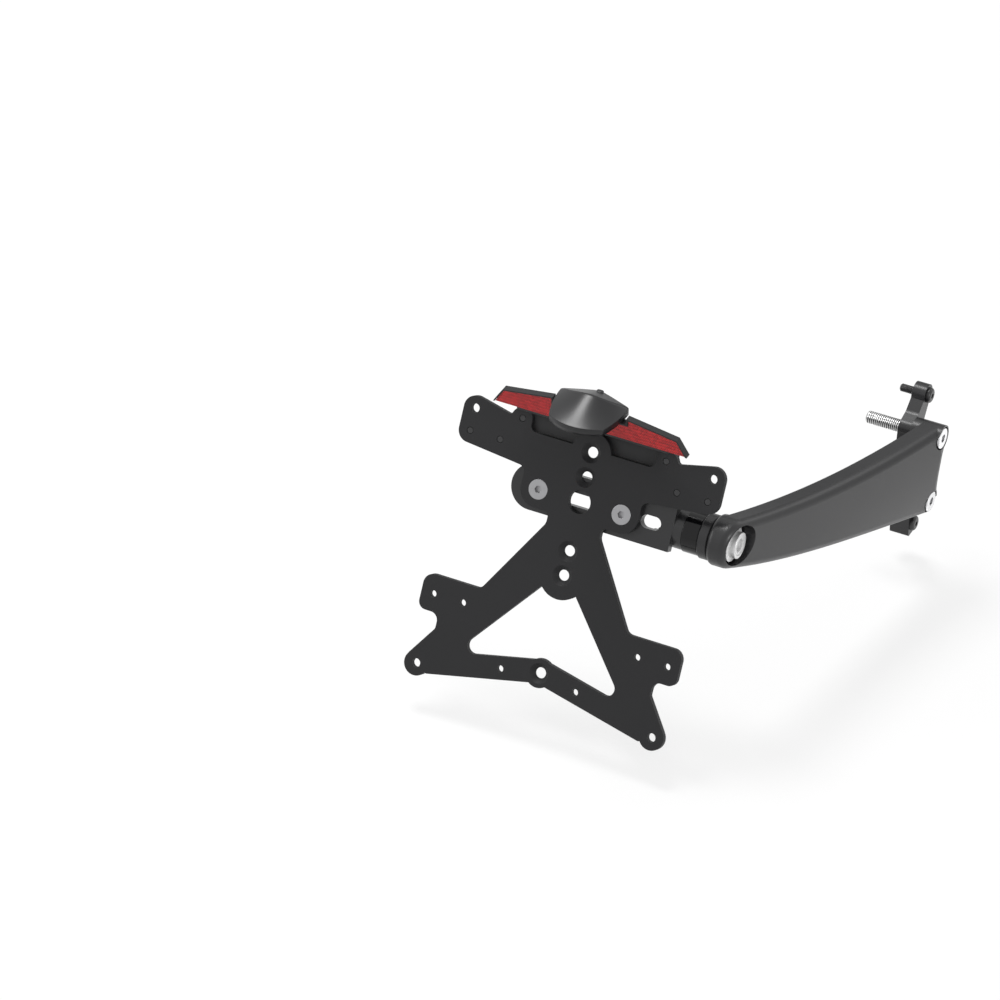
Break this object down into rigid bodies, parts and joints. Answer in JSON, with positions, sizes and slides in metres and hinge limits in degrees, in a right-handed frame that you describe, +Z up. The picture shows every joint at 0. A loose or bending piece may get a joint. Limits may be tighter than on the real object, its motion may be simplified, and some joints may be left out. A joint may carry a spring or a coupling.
{
  "type": "side mount license plate holder",
  "caption": "Side mount license plate holder for a motorbike: a splayed arm on two bolts carries a tilted A shaped plate bracket with a small lamp and red reflectors.",
  "frame": {"origin": "where the upper frame bolt's axis meets the adapter's inner face, which lies on the bike", "axes": "+X away from the bike along the bolts, +Y to the front of the bike, +Z up"},
  "size_m": [0.2341, 0.2849, 0.1844],
  "materials": {
    "powder_black": "matte black powder coat",
    "arm_black": "satin black anodised, finely blasted",
    "machined_black": "satin black anodised",
    "ring_black": "polished black anodised",
    "bright_steel": "bright zinc plated",
    "grey_steel": "dull stainless",
    "black_steel": "black oxide",
    "reflector_red": "moulded prismatic red",
    "black_plastic": "moulded satin black",
    "lamp_black": "smooth satin black",
    "clear_lens": "clear"
  },
  "bodies": {
    "arm": {"side_arm": "arm_black", "adapter_bracket": "machined_black", "upper_frame_bolt": "bright_steel", "lower_frame_bolt": "bright_steel", "frame_washers": "bright_steel", "upper_adapter_screw": "black_steel", "lower_adapter_screw": "black_steel", "index_ring": "machined_black"},
    "plate": {"plate_bracket": "powder_black", "plate_studs": "black_steel", "carrier_nuts": "grey_steel", "plate_screws": "grey_steel", "support_bracket": "machined_black", "pivot_bolt": "bright_steel", "pivot_washer": "bright_steel", "pivot_spacer": "ring_black", "left_reflector_frame": "black_plastic", "right_reflector_frame": "black_plastic", "left_reflector_lens": "reflector_red", "right_reflector_lens": "reflector_red", "lamp_housing": "lamp_black", "lamp_lens": "clear_lens", "lamp_base": "black_plastic", "lamp_carrier": "powder_black"}
  },
  "joints": [
    {"name": "plate_tilt", "type": "hinge", "parent": "arm", "child": "plate", "pos_m": [-0.0403, -0.1801, 0.026], "axis": [1, 0, 0], "range_deg": [-20, 20]}
  ]
}
